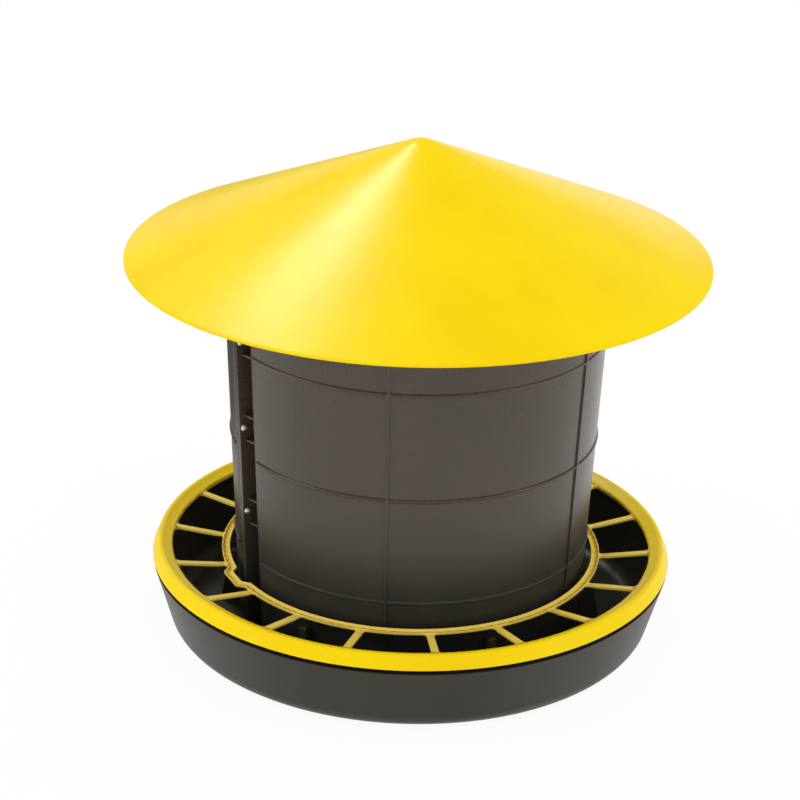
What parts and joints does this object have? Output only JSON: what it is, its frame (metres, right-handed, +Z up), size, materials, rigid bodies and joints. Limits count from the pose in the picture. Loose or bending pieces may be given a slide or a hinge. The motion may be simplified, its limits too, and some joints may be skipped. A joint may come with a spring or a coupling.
{
  "type": "poultry feeder",
  "caption": "Round gravity feeder for poultry: a ribbed two-panel hopper in a pan, with a spoked anti-waste grill ring and a conical rain cover.",
  "frame": {"origin": "on the floor under the middle of the pan", "axes": "+Z up along the hopper's axis; the hopper's two bolted seams lie on the X axis; -Y is the front"},
  "size_m": [0.5494, 0.5494, 0.4871],
  "materials": {
    "dark_plastic": "satin",
    "yellow_plastic": "satin",
    "zinc": "bright zinc"
  },
  "bodies": {
    "root": {"feed_pan": "dark_plastic", "hopper_panel_front": "dark_plastic", "hopper_panel_back": "dark_plastic", "seam_screws": "zinc", "seam_nuts": "zinc", "grill_ring": "yellow_plastic", "rain_cover": "yellow_plastic"}
  },
  "joints": []
}
